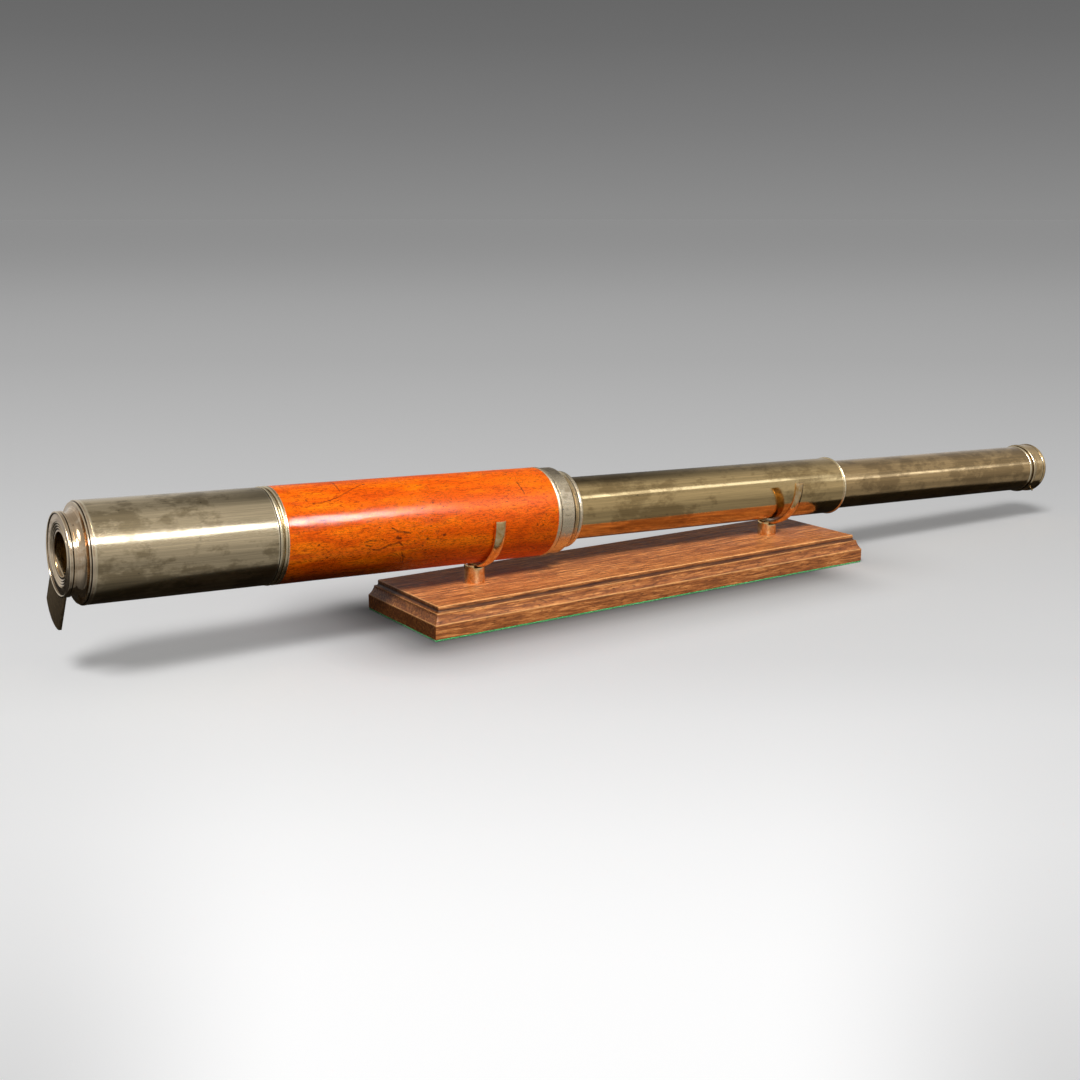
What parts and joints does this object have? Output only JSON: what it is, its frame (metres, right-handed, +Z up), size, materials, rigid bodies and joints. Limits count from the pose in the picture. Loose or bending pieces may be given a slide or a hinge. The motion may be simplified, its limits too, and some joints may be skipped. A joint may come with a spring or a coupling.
{
  "type": "draw telescope",
  "caption": "Two-draw brass and mahogany telescope with sliding sunshade, shuttered cap and eyepiece, resting in the brass cradles of a moulded wooden display stand.",
  "frame": {"origin": "centre of the stand's underside, on the surface it stands on", "axes": "+X along the telescope towards the eyepiece, +Y towards the far side of the stand, +Z up"},
  "size_m": [0.9019, 0.098, 0.1125],
  "materials": {
    "board_mahogany": "open-grained mahogany under thin wax polish",
    "baize": "green wool baize",
    "cradle_brass": "polished brass, faintly brushed",
    "tube_brass": "aged, greenish brass, rubbed bright along its length",
    "cap_brass": "turned brass, polished and slightly tarnished",
    "collar_brass": "worn, pitted and nicked brass",
    "barrel_mahogany": "orange-red varnish over mahogany, dented and scratched",
    "steel": "turned steel",
    "glass": "polished optical glass",
    "blackened": "brass lacquered matt black"
  },
  "bodies": {
    "stand": {"stand_board": "board_mahogany", "baize_pad": "baize", "front_cradle_post": "cradle_brass", "rear_cradle_post": "cradle_brass", "front_cradle": "cradle_brass", "rear_cradle": "cradle_brass", "post_screws": "steel"},
    "barrel": {"wood_barrel": "barrel_mahogany", "objective_tube": "tube_brass", "front_ferrule": "tube_brass", "barrel_collar": "collar_brass", "draw_1_bush": "tube_brass", "collar_screws": "steel", "objective_cell": "tube_brass", "crown_lens": "glass", "lens_spacer": "steel", "flint_lens": "glass", "lens_retaining_ring": "blackened"},
    "sunshade": {"sunshade_tube": "tube_brass", "sunshade_rear_ring": "tube_brass"},
    "cap": {"cap_body": "cap_brass", "cap_face_ring": "cap_brass"},
    "objective_shutter": {"shutter_slide": "tube_brass"},
    "draw_1": {"draw_1_tube": "tube_brass", "draw_1_end_ring": "tube_brass", "draw_1_stop_ring": "tube_brass", "draw_1_diaphragm": "blackened", "draw_2_bush": "tube_brass"},
    "draw_2": {"draw_2_tube": "tube_brass", "draw_2_stop_ring": "tube_brass", "erector_mount_ring": "tube_brass", "erector_tube": "tube_brass", "erector_front_cell": "tube_brass", "erector_front_lens": "glass", "erector_stop": "blackened", "erector_rear_cell": "tube_brass", "erector_rear_lens": "glass", "eyepiece_tube": "tube_brass", "field_lens": "glass", "field_lens_ring": "tube_brass", "eyepiece_stop": "blackened", "eye_lens_cell": "tube_brass", "eye_lens": "glass", "eyepiece_head": "tube_brass", "eye_cap": "tube_brass", "eye_shutter_pivot": "steel"},
    "eye_shutter": {"eye_shutter_plate": "tube_brass", "eye_shutter_knob": "tube_brass"}
  },
  "joints": [
    {"name": "telescope_lift", "type": "slide", "parent": "stand", "child": "barrel", "axis": [0, 0, 1], "range_m": [0, 0.12]},
    {"name": "sunshade_slide", "type": "slide", "parent": "barrel", "child": "sunshade", "axis": [-0.9992, 0, 0.0401], "range_m": [0, 0.09]},
    {"name": "cap_pull", "type": "slide", "parent": "sunshade", "child": "cap", "axis": [-0.9992, 0, 0.0401], "range_m": [0, 0.05]},
    {"name": "objective_shutter_slide", "type": "slide", "parent": "cap", "child": "objective_shutter", "axis": [-0.0348, 0.5, -0.8653], "range_m": [-0.0277, 0]},
    {"name": "draw_1_slide", "type": "slide", "parent": "barrel", "child": "draw_1", "axis": [-0.9992, 0, 0.0401], "range_m": [0, 0.268]},
    {"name": "draw_2_slide", "type": "slide", "parent": "draw_1", "child": "draw_2", "axis": [-0.9992, 0, 0.0401], "range_m": [0, 0.242]},
    {"name": "eye_shutter_swing", "type": "hinge", "parent": "draw_2", "child": "eye_shutter", "pos_m": [0.46052, -0.00439, 0.03273], "axis": [0.9992, 0, -0.0401], "range_deg": [0, 40]}
  ]
}
